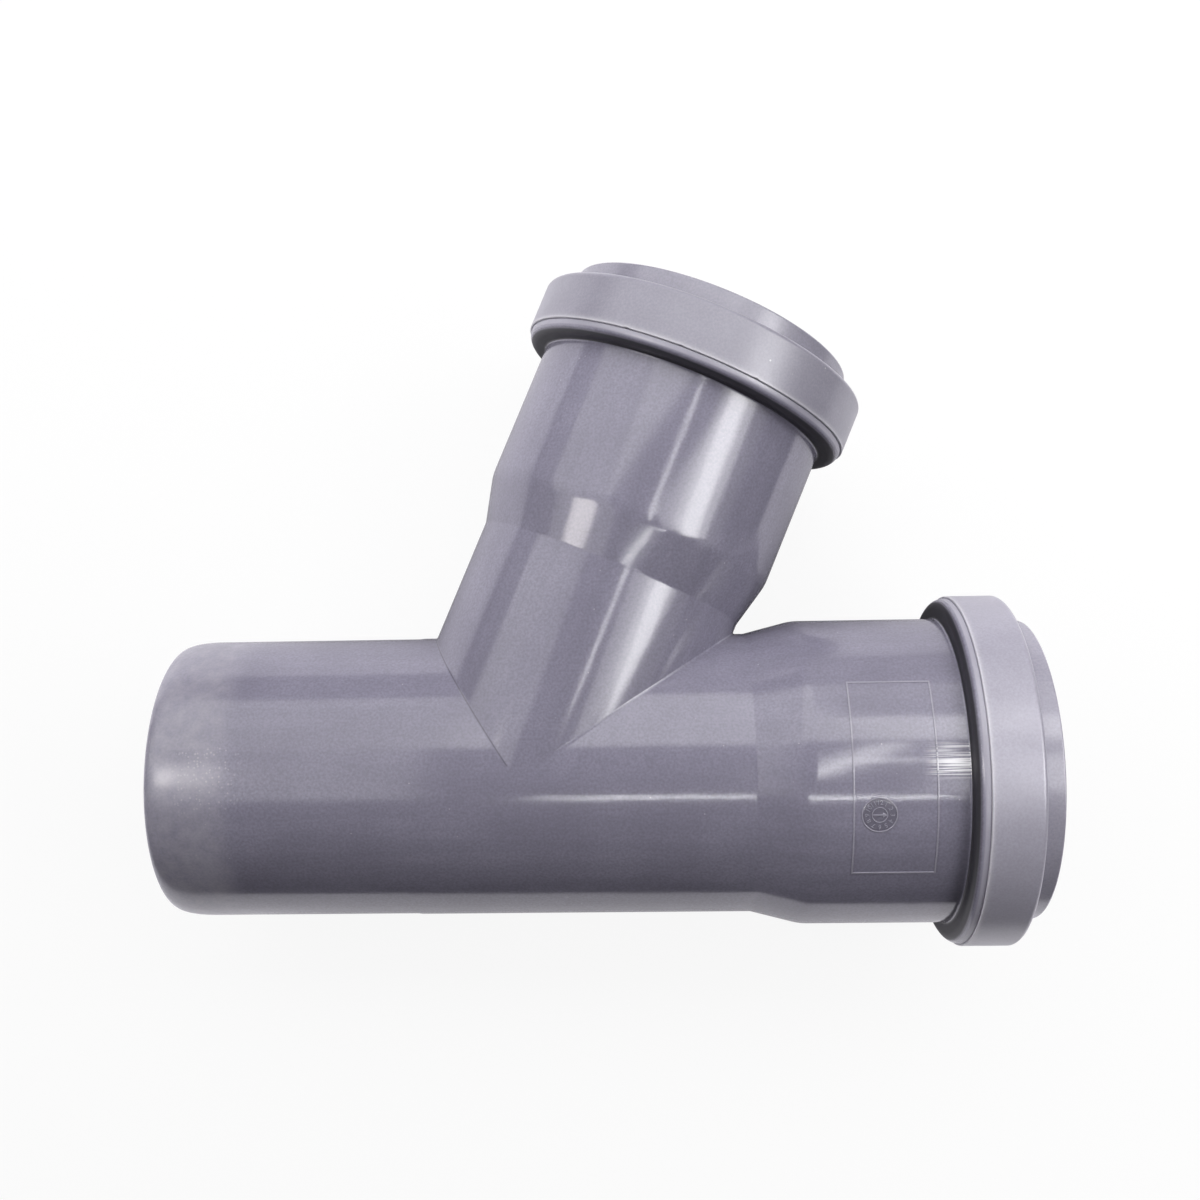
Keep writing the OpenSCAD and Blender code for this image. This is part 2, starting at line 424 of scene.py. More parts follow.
def outline_only(obj, width):
    """Keeps a rim of this width, in millimetres, of a flat shape."""
    only(obj)
    bpy.ops.object.mode_set(mode="EDIT")
    bpy.ops.mesh.select_all(action="SELECT")
    bpy.ops.mesh.inset(thickness=width * MM)
    bpy.ops.mesh.delete(type="FACE")
    bpy.ops.object.mode_set(mode="OBJECT")

# %% The frame of the mark
FRAME_FROM, FRAME_TO = 55.1, 69.0
FRAME_LOW, FRAME_HIGH = math.radians(-36.3), math.radians(34.5)
FRAME_RIB = 0.3
FRAME_STEPS = 60

clear_selection()
bpy.ops.mesh.primitive_grid_add(x_subdivisions=1, y_subdivisions=FRAME_STEPS, size=1)
mark_frame = bpy.context.object
mark_frame.scale = ((FRAME_TO - FRAME_FROM) * MM, (FRAME_HIGH - FRAME_LOW) * socket_r * MM, 1)
mark_frame.location = ((FRAME_FROM + FRAME_TO) / 2 * MM, (FRAME_HIGH + FRAME_LOW) / 2 * socket_r * MM, 0)
bpy.ops.object.transform_apply()
outline_only(mark_frame, FRAME_RIB)
raise_faces(mark_frame, RIB_HEIGHT)
print("mark frame", [round(v / MM, 1) for v in mark_frame.dimensions], "mm")

# %% The date dial: its face and two rings
DIAL_AT = Vector((59.4, math.radians(-13.3) * socket_r, 0))
DIAL_R = 2.95
DIAL_RIB = 0.2
ARROW_R = 1.3
ARROW_RIB = 0.12
FACE_HEIGHT = 0.01
FACE_RINGS = 7
RING_WIDTH = 0.36
SHAFT_LENGTH = 2.2
SHAFT_WIDTH = 0.2
HEAD_R = 0.5
HEAD_AT = Vector((0.75, 0, 0))
DIGIT_HEIGHT = 1.1
DIGIT_RING = (DIAL_R - DIAL_RIB + ARROW_R) / 2

def disc(radius):
    """A flat disc on the dial's centre."""
    clear_selection()
    bpy.ops.mesh.primitive_circle_add(vertices=64, radius=radius * MM, fill_type="NGON")
    obj = bpy.context.object
    obj.location = DIAL_AT * MM
    bpy.ops.object.transform_apply()
    return obj

dial_face = disc(DIAL_R - DIAL_RIB)
only(dial_face)
bpy.ops.object.mode_set(mode="EDIT")
bpy.ops.mesh.select_all(action="SELECT")
for _ in range(FACE_RINGS):
    bpy.ops.mesh.inset(thickness=RING_WIDTH * MM)
bpy.ops.object.mode_set(mode="OBJECT")
raise_faces(dial_face, FACE_HEIGHT, rounding=0.005)
for radius, rib in ((DIAL_R, DIAL_RIB), (ARROW_R, ARROW_RIB)):
    ring = disc(radius)
    outline_only(ring, rib)
    raise_faces(ring, RIB_HEIGHT, rounding=0.04)

# %% The dial's arrow
clear_selection()
bpy.ops.mesh.primitive_grid_add(x_subdivisions=8, y_subdivisions=1, size=1)
shaft = bpy.context.object
shaft.scale = (SHAFT_LENGTH * MM, SHAFT_WIDTH * MM, 1)
shaft.location = DIAL_AT * MM
bpy.ops.object.transform_apply()
raise_faces(shaft, RIB_HEIGHT, rounding=0.03)
clear_selection()
bpy.ops.mesh.primitive_circle_add(vertices=3, radius=HEAD_R * MM, fill_type="NGON")
head = bpy.context.object
head.rotation_euler.z = math.radians(-90)
head.location = (DIAL_AT + HEAD_AT) * MM
bpy.ops.object.transform_apply()
raise_faces(head, RIB_HEIGHT, rounding=0.03)

# %% The dial's twelve months
for month in range(1, 13):
    turn = math.radians(90 - 30 * month)
    clear_selection()
    bpy.ops.object.text_add()
    digits = bpy.context.object
    digits.data.body = str(month)
    digits.data.size = DIGIT_HEIGHT * MM
    digits.data.align_x = "CENTER"
    digits.data.align_y = "CENTER"
    digits.data.resolution_u = 2
    digits.data.extrude = (RIB_HEIGHT + MARK_SINK) / 2 * MM
    bpy.ops.object.convert(target="MESH")
    digits = bpy.context.object
    digits.rotation_euler.z = turn - math.pi / 2
    ring_place = Vector((math.cos(turn), math.sin(turn), 0)) * DIGIT_RING
    digits.location = (DIAL_AT + ring_place + Vector((0, 0, (RIB_HEIGHT + MARK_SINK) / 2))) * MM
    bpy.ops.object.transform_apply()
    bpy.ops.object.mode_set(mode="EDIT")
    bpy.ops.mesh.select_all(action="SELECT")
    bpy.ops.mesh.remove_doubles(threshold=0.001 * MM)
    bpy.ops.mesh.normals_make_consistent(inside=False)
    bpy.ops.object.mode_set(mode="OBJECT")
    marks.append(digits)
print("mark pieces:", len(marks))

# %% Rolling the marks onto the socket and joining them to the body
for obj in marks:
    note_mark(obj, -1 if obj == dial_face else 1)
    for vert in obj.data.vertices:
        radius = (socket_r - MARK_SINK) * MM + vert.co.z
        angle = vert.co.y / (socket_r * MM)
        vert.co = (vert.co.x, radius * math.sin(angle), radius * math.cos(angle))
only(body)
for obj in marks:
    obj.select_set(True)
bpy.ops.object.join()
into_frame(body)
finish_shading(body)
print("body with its marks:", len(body.data.polygons), "faces")

# %% [markdown]
# ## The caps
# A cap is a ring of a softer, duller plastic with a band that snaps over the seal seat, a face that keeps
# the seal in and a collar that the pipe enters. It is as round as the socket, so it is turned from its
# own section, with the front edges well rounded as they left the mould.

# %% A cap's section, and the nicks in a rim
CAP_PLAY = 0.1
NICKS = ((21, 0.12), (3, 0.1), (-22, 0.14))
NICK_WIDTH = 180 / TURN_STEPS
NICK_REACH = 0.5
NICK_BAND = 0.35

def cap(name):
    """A snap cap on the run's centre line."""
    rear = cap_start + 0.02
    groove = snap_start - CAP_PLAY
    groove_end = snap_start + snap_length + CAP_PLAY
    face_back = seat_end + CAP_PLAY
    return turned(name, [
        (rear, cap_bore_r, 0),
        (rear, cap_r, 0.2),
        (cap_front, cap_r, 0.9),
        (cap_front, nose_r, 0.3),
        (mouth, nose_r, 0.4),
        (mouth, socket_bore_r + 0.9, 0.15),
        (mouth - 1.2, socket_bore_r, 0.3),
        (face_back, socket_bore_r, 0),
        (face_back, cap_bore_r, 0),
        (groove_end, cap_bore_r, 0),
        (groove_end, snap_r + CAP_PLAY, 0),
        (groove, snap_r + CAP_PLAY, 0),
        (groove, cap_bore_r, 0),
    ])

def nick(obj, degrees, depth):
    """Presses one small dent into the rear rim, at an angle round the cap from its top."""
    only(obj)
    bpy.ops.object.mode_set(mode="EDIT")
    bpy.ops.mesh.select_mode(type="VERT")
    bpy.ops.mesh.select_all(action="DESELECT")
    bpy.ops.object.mode_set(mode="OBJECT")
    for vert in obj.data.vertices:
        angle = math.degrees(math.atan2(vert.co.y, vert.co.z))
        close = abs(angle - degrees) < NICK_WIDTH
        at_rear = vert.co.x < (cap_start + NICK_REACH) * MM
        vert.select = close and at_rear and vert.co.yz.length > (cap_r - NICK_BAND) * MM
    bpy.ops.object.mode_set(mode="EDIT")
    bpy.ops.transform.translate(value=(depth * MM, 0, 0))
    bpy.ops.object.mode_set(mode="OBJECT")

# %% Both caps, with an attribute that is 1 along the rear rim and -1 on the nose
RIM_WIDTH = 0.45

run_cap = cap("run_cap_ring")
branch_cap = cap("branch_cap_ring")
for degrees, depth in NICKS:
    nick(branch_cap, degrees, depth)
for piece in (run_cap, branch_cap):
    rim = piece.data.attributes.new("rim", "FLOAT", "POINT")
    for vert in piece.data.vertices:
        radius = vert.co.yz.length / MM
        near = Vector((vert.co.x / MM - cap_start, radius - cap_r)).length
        on_nose = vert.co.x > (cap_front - 0.01) * MM and radius < nose_r + 0.1
        rim.data[vert.index].value = 1 if near < RIM_WIDTH else (-1 if on_nose else 0)
    print(piece.name, "rim points:", sum(item.value > 0 for item in rim.data))
lean(branch_cap)
for piece in (run_cap, branch_cap):
    into_frame(piece)
    finish_shading(piece, angle=40)

# %% [markdown]
# ## Materials
# Each plastic is one Principled shader. The body is glossy polypropylene, the caps are a satin grade of
# it, and the seals are black rubber. Moulded plastic is never one flat colour: it is faintly cloudy where
# the melt ran, its skin has a slight orange peel and a fine grain, and handling leaves specks and haze.
# Some light and shade is painted into the colours as well: a painted reflection and highlight on the
# spigot's end, painted highlights along the run socket, on the mould's ribs and along the caps' rims,
# lighter bead shoulders, and painted shade in the left crease and in the bead's corners. Painted images
# could show all that, but noise on Object coordinates needs none and stays put on the piece from every
# side. The effects that more than one material uses are node groups, made once.

# %% Small helpers for node trees
def feed(tree, value, socket):
    """Gives a socket a number, or links it to another socket."""
    if isinstance(value, bpy.types.NodeSocket):
        tree.links.new(value, socket)
    else:
        socket.default_value = value

def calc(tree, operation, *values):
    """The result of a Math node."""
    node = tree.nodes.new("ShaderNodeMath")
    node.operation = operation
    for value, socket in zip(values, node.inputs):
        feed(tree, value, socket)
    return node.outputs[0]

def clamped(tree, value):
    """A value kept between 0 and 1."""
    return calc(tree, "MINIMUM", calc(tree, "MAXIMUM", value, 0), 1)

def noise(tree, vector, scale, detail=2.0):
    """The value of a Noise Texture."""
    node = tree.nodes.new("ShaderNodeTexNoise")
    node.inputs["Detail"].default_value = detail
    feed(tree, vector, node.inputs["Vector"])
    feed(tree, scale, node.inputs["Scale"])
    return node.outputs["Fac"]

def stretched(tree, vector, scale, turn=0.0):
    """Coordinates turned about Z and then scaled along each axis."""
    node = tree.nodes.new("ShaderNodeMapping")
    node.vector_type = "TEXTURE"
    node.inputs["Rotation"].default_value = (0, 0, turn)
    node.inputs["Scale"].default_value = scale
    feed(tree, vector, node.inputs["Vector"])
    return node.outputs[0]

def new_group(name, inputs, output):
    """An empty shader node group with a Vector input, named float inputs and one float output."""
    tree = bpy.data.node_groups.new(name, "ShaderNodeTree")
    tree.interface.new_socket("Vector", in_out="INPUT", socket_type="NodeSocketVector")
    for label, value in inputs.items():
        socket = tree.interface.new_socket(label, in_out="INPUT", socket_type="NodeSocketFloat")
        socket.default_value = value
    tree.interface.new_socket(output, in_out="OUTPUT", socket_type="NodeSocketFloat")
    start = tree.nodes.new("NodeGroupInput").outputs
    end = tree.nodes.new("NodeGroupOutput").inputs
    return tree, start, end

# %% The moulded skin: a slight orange peel under a fine grain
skin_inputs = {"Peel": 500, "Grain": 4000, "Grain Share": 0.2}
skin_group, start, end = new_group("moulded_skin", skin_inputs, "Height")
grain = noise(skin_group, start["Vector"], start["Grain"])
peel = noise(skin_group, start["Vector"], start["Peel"], 1)
height = calc(skin_group, "ADD", peel, calc(skin_group, "MULTIPLY", grain, start["Grain Share"]))
feed(skin_group, height, end["Height"])

# %% Clouds in the colour, where the melt ran
cloud_group, start, end = new_group("melt_clouds", {"Scale": 60, "Contrast": 2}, "Value")
centred = calc(cloud_group, "SUBTRACT", noise(cloud_group, start["Vector"], start["Scale"], 4), 0.5)
spread = calc(cloud_group, "MULTIPLY_ADD", centred, start["Contrast"], 0.5)
feed(cloud_group, clamped(cloud_group, spread), end["Value"])

# %% Specks: a dot in some of the cells of a Voronoi pattern
SPECK_EDGE = 3

speck_group, start, end = new_group("specks", {"Scale": 800, "Size": 0.2, "Share": 0.1}, "Mask")
cells = speck_group.nodes.new("ShaderNodeTexVoronoi")
feed(speck_group, start["Vector"], cells.inputs["Vector"])
feed(speck_group, start["Scale"], cells.inputs["Scale"])
pick = speck_group.nodes.new("ShaderNodeSeparateColor")
feed(speck_group, cells.outputs["Color"], pick.inputs[0])
chosen = calc(speck_group, "LESS_THAN", pick.outputs[0], start["Share"])
outward = calc(speck_group, "DIVIDE", cells.outputs["Distance"], start["Size"])
inside = calc(speck_group, "SUBTRACT", 1, outward)
dot = clamped(speck_group, calc(speck_group, "MULTIPLY", inside, SPECK_EDGE))
feed(speck_group, calc(speck_group, "MULTIPLY", dot, chosen), end["Mask"])
print("node groups:", [tree.name for tree in bpy.data.node_groups])

# %% A finish: a shader, its coordinates and the parts that every material has
DEEP_SKIN = 0.012
FINE_SKIN = 0.01

class Finish:
    """One Principled material, built up effect by effect."""

    def __init__(self, name, colour, roughness):
        self.material = bpy.data.materials.new(name)
        self.material.use_nodes = True
        self.tree = self.material.node_tree
        self.shader = self.tree.nodes["Principled BSDF"]
        self.where = self.tree.nodes.new("ShaderNodeTexCoord").outputs["Object"]
        self.colour = (*colour, 1)
        self.roughness = roughness

    def effect(self, group, vector=None, **values):
        """The output of a shared node group placed in this material."""
        node = self.tree.nodes.new("ShaderNodeGroup")
        node.node_tree = group
        feed(self.tree, vector or self.where, node.inputs["Vector"])
        for label, value in values.items():
            feed(self.tree, value, node.inputs[label.replace("_", " ")])
        return node.outputs[0]

    def times(self, first, second):
        """The product of two values."""
        return calc(self.tree, "MULTIPLY", first, second)

    def tint(self, mask, colour, share=None):
        """Mixes another colour in by a mask, or by a share of it."""
        node = self.tree.nodes.new("ShaderNodeMix")
        node.data_type = "RGBA"
        feed(self.tree, mask if share is None else self.times(mask, share), node.inputs["Factor"])
        feed(self.tree, self.colour, node.inputs["A"])
        node.inputs["B"].default_value = (*colour, 1)
        self.colour = node.outputs["Result"]

    def attribute(self, name):
        """The value of an attribute of the mesh."""
        node = self.tree.nodes.new("ShaderNodeAttribute")
        node.attribute_name = name
        return node.outputs["Fac"]

    def above(self, value):
        """What a signed value is above zero."""
        return calc(self.tree, "MAXIMUM", value, 0)

    def below(self, value):
        """How far a signed value is below zero, as a positive number."""
        return self.above(self.times(value, -1))

    def roughen(self, mask, amount):
        """Adds to the roughness by a mask."""
        self.roughness = calc(self.tree, "MULTIPLY_ADD", mask, amount, self.roughness)

    def zone(self, x, y, soft=0.5):
        """A mask over ranges of x and y in millimetres from the crossing, on the upper side."""
        split = self.tree.nodes.new("ShaderNodeSeparateXYZ")
        feed(self.tree, self.where, split.inputs[0])
        sides = []
        for axis, (low, high) in enumerate((x, y)):
            middle = crossing[axis] + (low + high) / 2 * MM
            off = calc(self.tree, "ABSOLUTE", calc(self.tree, "SUBTRACT", split.outputs[axis], middle))
            fade = self.tree.nodes.new("ShaderNodeMapRange")
            fade.interpolation_type = "SMOOTHSTEP"
            fade.inputs["From Min"].default_value = (high - low) / 2 * MM
            fade.inputs["From Max"].default_value = (high - low) / 2 * MM * (1 - soft)
            feed(self.tree, off, fade.inputs["Value"])
            sides.append(fade.outputs[0])
        upper = calc(self.tree, "GREATER_THAN", split.outputs[2], crossing.z)
        return self.times(self.times(*sides), upper)

    def done(self, height, depth):
        """Links the colour, the roughness and a bump of this depth in millimetres."""
        bump = self.tree.nodes.new("ShaderNodeBump")
        bump.inputs["Distance"].default_value = depth * MM
        feed(self.tree, height, bump.inputs["Height"])
        feed(self.tree, bump.outputs[0], self.shader.inputs["Normal"])
        feed(self.tree, self.colour, self.shader.inputs["Base Color"])
        feed(self.tree, self.roughness, self.shader.inputs["Roughness"])
        return self.material

# %% Glossy polypropylene of the body
BODY_GREY = (0.275, 0.261, 0.336)
CLOUD_GREY = (0.222, 0.209, 0.273)
STREAK_GREY = (0.19, 0.18, 0.236)
GRAIN_GREY = (0.13, 0.123, 0.16)
DUST_GREY = (0.6, 0.58, 0.62)

body_finish = Finish("body_gloss_polypropylene", BODY_GREY, 0.12)
body_tree = body_finish.tree
clouds = body_finish.effect(cloud_group, Scale=70, Contrast=2.4)
body_finish.tint(clouds, CLOUD_GREY)
on_branch = body_finish.attribute("branch")
on_run = calc(body_tree, "SUBTRACT", 1, on_branch)

def along_pipe(scale, contrast):
    """Clouds drawn out along the centre line of whichever pipe the surface belongs to."""
    shares = []
    for turn, share in ((0, on_run), (BRANCH_ANGLE, on_branch)):
        where = stretched(body_tree, body_finish.where, (12, 1, 1), turn)
        value = body_finish.effect(cloud_group, where, Scale=scale, Contrast=contrast)
        shares.append(body_finish.times(value, share))
    return calc(body_tree, "ADD", *shares)

body_finish.tint(along_pipe(420, 3), STREAK_GREY, 0.35)
grain = body_finish.effect(cloud_group, Scale=2300, Contrast=3)
body_finish.tint(grain, GRAIN_GREY, 0.4)
body_finish.roughen(clouds, 0.03)
dust = body_finish.effect(speck_group, Scale=900, Size=0.13, Share=0.02)
body_finish.tint(dust, DUST_GREY, 0.35)

# %% The spigot end: a haze of wear and a painted reflection, scraped dots and a painted highlight, and painted shade in the left crease
HAZE_AND_REFLECTION_GREY = (0.55, 0.53, 0.57)
SCRAPE_AND_HIGHLIGHT_GREY = (0.75, 0.73, 0.76)
CREASE_SHADE_BLACK = (0.05, 0.047, 0.06)

haze_and_reflection_zone = body_finish.zone((-84, -47), (-60, 60), soft=0.3)
haze = body_finish.effect(cloud_group, Scale=420, Contrast=2)
haze_and_reflection_share = calc(body_tree, "MULTIPLY_ADD", haze, 0.2, 0.08)
# The spigot end is made lighter: partly a real haze of wear, partly a painted reflection.
body_finish.tint(haze_and_reflection_share, HAZE_AND_REFLECTION_GREY, haze_and_reflection_zone)
scrape_and_highlight_zone = body_finish.zone((-59, -45), (-7, 9))
scrape_and_highlight_dots = body_finish.effect(speck_group, Scale=1900, Size=0.4, Share=0.3)
# Pale dots on the spigot's top: partly scrapes, partly a painted highlight.
body_finish.tint(body_finish.times(scrape_and_highlight_dots, scrape_and_highlight_zone), SCRAPE_AND_HIGHLIGHT_GREY, 0.17)
# Painted shade: a thin dark line along the left crease.
body_finish.tint(body_finish.attribute("painted_crease_shade"), CREASE_SHADE_BLACK, 0.6)
body_finish.roughen(haze_and_reflection_zone, 0.1)

# %% A painted highlight at the run socket: pale lines along the pipe, which stop at the bead
SOCKET_HIGHLIGHT_WHITE = (0.95, 0.94, 0.97)

corner = body_finish.attribute("corner")
socket_highlight_zone = body_finish.zone((66, 86), (-1, 6))
highlight_lines = stretched(body_tree, body_finish.where, (60, 1, 1))
highlight_streaks = body_finish.effect(cloud_group, highlight_lines, Scale=4600, Contrast=7)
on_socket = calc(body_tree, "LESS_THAN", calc(body_tree, "ABSOLUTE", corner), 0.01)
socket_highlight_mask = body_finish.times(body_finish.times(highlight_streaks, socket_highlight_zone), on_socket)
# A painted highlight: pale fine lines on the run socket.
body_finish.tint(socket_highlight_mask, SOCKET_HIGHLIGHT_WHITE, 0.8)

# %% Painted shade in the bead's corner, painted light on the shoulder above it, and the marks of the mould with painted highlights on their ribs
CORNER_SHADE_BLACK = (0.014, 0.013, 0.016)
SHOULDER_LIGHT_GREY = (0.4, 0.385, 0.45)
RIB_HIGHLIGHT_GREY = (0.6, 0.58, 0.63)
DIAL_GREY = (0.1, 0.094, 0.12)

corner_shade = body_finish.above(corner)
# Painted shade: a near-black band on the bead's rear face.
body_finish.tint(corner_shade, CORNER_SHADE_BLACK, 0.93)
body_finish.roughen(corner_shade, 0.35)
shoulder_light = body_finish.below(corner)
# Painted light: the top of the bead's shoulder made lighter.
body_finish.tint(shoulder_light, SHOULDER_LIGHT_GREY, 0.8)
body_finish.roughen(shoulder_light, 0.2)
mark = body_finish.attribute("mark")
# Painted highlight: the raised ribs of the mould's marks made lighter.
body_finish.tint(body_finish.above(mark), RIB_HIGHLIGHT_GREY, 0.22)
body_finish.tint(body_finish.below(mark), DIAL_GREY, 0.5)
skin = body_finish.effect(skin_group, Peel=420, Grain=4200, Grain_Share=0.08)
drawn = body_finish.times(along_pipe(1500, 2), 0.22)
body_plastic = body_finish.done(calc(body_tree, "ADD", skin, drawn), DEEP_SKIN)

# %% Satin polypropylene of the caps, with the branch cap's colour a darker copy of the run cap's
RUN_CAP_GREY = (0.41, 0.392, 0.47)
BRANCH_CAP_GREY = (0.312, 0.299, 0.36)
RIM_HIGHLIGHT_PALE = (0.85, 0.83, 0.86)
SPECK_PALE = (0.8, 0.78, 0.8)

def cap_material(name, colour):
    """A satin cap: clouds, a painted highlight along the rear rim, a smoother nose, a few specks and a
    grainy skin.
    """
    finish = Finish(name, colour, 0.27)

    def darker(share):
        """The cap's own colour at a share of its brightness."""
        return tuple(share * part for part in colour)

    clouds = finish.effect(cloud_group, Scale=55, Contrast=2.4)
    finish.tint(clouds, darker(0.88))
    finish.roughen(clouds, 0.07)
    smears = stretched(finish.tree, finish.where, (1, 4, 1), BRANCH_ANGLE)
    smear = finish.effect(cloud_group, smears, Scale=260, Contrast=4)
    finish.tint(smear, darker(0.75), 0.25)
    grain = finish.effect(cloud_group, Scale=2600, Contrast=3)
    finish.tint(grain, darker(0.55), 0.34)
    where = finish.attribute("rim")
    finish.roughen(finish.below(where), -0.1)
    rim = calc(finish.tree, "POWER", finish.above(where), 30)
    # Painted highlight: a pale line along the cap's rear rim.
    finish.tint(rim, RIM_HIGHLIGHT_PALE, 0.35)
    pale = finish.effect(speck_group, Scale=500, Size=0.1, Share=0.04)
    finish.tint(pale, SPECK_PALE, 0.5)
    skin = finish.effect(skin_group, Peel=900, Grain=6500, Grain_Share=0.5)
    return finish.done(skin, FINE_SKIN)

run_cap_plastic = cap_material("run_cap_satin_polypropylene", RUN_CAP_GREY)
branch_cap_plastic = cap_material("branch_cap_satin_polypropylene", BRANCH_CAP_GREY)

# %% Black rubber of the seals
RUBBER_BLACK = (0.016, 0.016, 0.017)
BLOOM_GREY = (0.03, 0.03, 0.031)

seal_finish = Finish("seal_black_rubber", RUBBER_BLACK, 0.42)
bloom = seal_finish.effect(cloud_group, Scale=160, Contrast=3)
seal_finish.tint(bloom, BLOOM_GREY)
seal_finish.roughen(bloom, 0.15)
skin = seal_finish.effect(skin_group, Peel=1200, Grain=5200, Grain_Share=0.6)
seal_rubber = seal_finish.done(skin, DEEP_SKIN)

# %% Giving each piece its material
for piece, material in (
    (body, body_plastic),
    (run_cap, run_cap_plastic),
    (branch_cap, branch_cap_plastic),
):
    piece.data.materials.clear()
    piece.data.materials.append(material)
for name in ("run_seal", "branch_seal"):
    frame["nodes"][name].material_slots[0].material = seal_rubber
print("materials:", [material.name for material in bpy.data.materials])

# %% [markdown]
# ## The camera
# The photograph looks almost straight down on the fitting from a quarter of a metre. The camera's place
# and turn were worked out once from the outline of the fitting. They are written here as its place from
# the crossing, in millimetres, and the directions that point right and up in the picture.

# %% Camera
CAMERA_PLACE = crossing + Vector((21.719, 10.341, 241.968)) * MM
CAMERA_RIGHT = Vector((0.99929171, -0.01328026, -0.03520955))
CAMERA_UP = Vector((0.01634036, 0.99597765, 0.08809946))
LENS = 39.105

clear_selection()
bpy.ops.object.camera_add(location=CAMERA_PLACE)
camera = bpy.context.object
camera.name = "camera"
back = CAMERA_RIGHT.cross(CAMERA_UP)
camera.rotation_euler = Matrix((CAMERA_RIGHT, CAMERA_UP, back)).transposed().to_euler()
camera.data.lens = LENS
camera.data.sensor_width = 36
camera.data.clip_start = 0.01
bpy.context.scene.camera = camera

# %% [markdown]
# ## Floor, world and light
# The fitting lies on a pale surface. The model stays level, as its centre lines are drawn, so the floor
# is tilted to touch both caps and the thinner spigot, as the surface under the real one does. A glossy
# part shows its surroundings more than its own colour, and outdoors those would be an image of the sky
# and ground. Here the room is built from what the plastic shows: soft panels above, two dim patches of
# sky and the white floor. The floor is white in the picture, keeps the part's shadow, and in reflections
# it is bright where it lies open and dark close under the part, which Ambient Occlusion measures.

# %% Floor, with its edges in metres and the points that it touches in millimetres
FLOOR_BACK = 0.9
FLOOR_FRONT = -0.148
FLOOR_LEFT = -0.9
FLOOR_RIGHT = 0.2
CAP_FOOT = cap_start + 0.1
SPIGOT_FOOT = -56.0
SPIGOT_FOOT_R = pipe_r - 0.15
cap_foot = crossing + Vector((CAP_FOOT, 0, -cap_r)) * MM
branch_foot = crossing + branch_way * CAP_FOOT * MM - Vector((0, 0, cap_r)) * MM
spigot_foot = crossing + Vector((SPIGOT_FOOT, 0, -SPIGOT_FOOT_R)) * MM
floor_normal = (branch_foot - cap_foot).cross(spigot_foot - cap_foot).normalized()

def floor_height(x, y):
    """Height of the floor under a point."""
    away = floor_normal.x * (x - cap_foot.x) + floor_normal.y * (y - cap_foot.y)
    return cap_foot.z - away / floor_normal.z

clear_selection()
bpy.ops.mesh.primitive_plane_add(size=2)
floor = bpy.context.object
floor.name = "floor"
for vert in floor.data.vertices:
    x = FLOOR_LEFT if vert.co.x < 0 else FLOOR_RIGHT
    y = FLOOR_FRONT if vert.co.y < 0 else FLOOR_BACK
    vert.co = (x, y, floor_height(x, y))
print("floor tilt", round(math.degrees(floor_normal.angle(Vector((0, 0, 1)))), 2), "degrees")

# %% The floor's white
FLOOR_WHITE = 0.85
CAMERA_GLOW = 0.9
OPEN_SHEEN = 1.5
SHEEN_TINT = (0.96, 0.94, 1, 1)
SHADE_REACH = 0.12
SHADE_POWER = 2.5

white = bpy.data.materials.new("floor_white")
white.use_nodes = True
tree = white.node_tree
nodes = tree.nodes
nodes.clear()
path = nodes.new("ShaderNodeLightPath").outputs
matt = nodes.new("ShaderNodeBsdfDiffuse")
unseen_shine = calc(tree, "SUBTRACT", 1, path["Is Glossy Ray"])
feed(tree, calc(tree, "MULTIPLY", unseen_shine, FLOOR_WHITE), matt.inputs["Color"])
glow = nodes.new("ShaderNodeEmission")
seen = nodes.new("ShaderNodeMixShader")
feed(tree, calc(tree, "MULTIPLY", path["Is Camera Ray"], CAMERA_GLOW), seen.inputs["Fac"])
feed(tree, matt.outputs[0], seen.inputs[1])
feed(tree, glow.outputs[0], seen.inputs[2])
contact = nodes.new("ShaderNodeAmbientOcclusion")
contact.inputs["Distance"].default_value = SHADE_REACH
contact.samples = 8
open_floor = calc(tree, "POWER", contact.outputs["AO"], SHADE_POWER)
shine_share = calc(tree, "MULTIPLY", path["Is Glossy Ray"], OPEN_SHEEN)
sheen = nodes.new("ShaderNodeEmission")
sheen.inputs["Color"].default_value = SHEEN_TINT
feed(tree, calc(tree, "MULTIPLY", open_floor, shine_share), sheen.inputs["Strength"])
total = nodes.new("ShaderNodeAddShader")
feed(tree, seen.outputs[0], total.inputs[0])
feed(tree, sheen.outputs[0], total.inputs[1])
feed(tree, total.outputs[0], nodes.new("ShaderNodeOutputMaterial").inputs["Surface"])
floor.data.materials.append(white)
print("floor from", FLOOR_LEFT, "to", FLOOR_RIGHT, "m")

# %% World: white for the camera, and for other rays two soft patches of sky
BACK_SKY = (0.38, 0.92, 0.2)
LEFT_SKY = (-0.95, 0.1, 0.3)

world = bpy.data.worlds.new("studio")
bpy.context.scene.world = world
world.use_nodes = True
tree = world.node_tree
nodes = tree.nodes
nodes.clear()
path = nodes.new("ShaderNodeLightPath").outputs
where = nodes.new("ShaderNodeTexCoord").outputs["Generated"]

def patch(direction, inner, outer, strength):
    """A soft round patch of light, full within inner degrees of a direction and gone past outer."""
    along = nodes.new("ShaderNodeVectorMath")
    along.operation = "DOT_PRODUCT"
    along.inputs[1].default_value = Vector(direction).normalized()
    feed(tree, where, along.inputs[0])
    fade = nodes.new("ShaderNodeMapRange")
    fade.interpolation_type = "SMOOTHSTEP"
    fade.inputs["From Min"].default_value = math.cos(math.radians(outer))
    fade.inputs["From Max"].default_value = math.cos(math.radians(inner))
    fade.inputs["To Max"].default_value = strength
    feed(tree, along.outputs["Value"], fade.inputs["Value"])
    return fade.outputs[0]

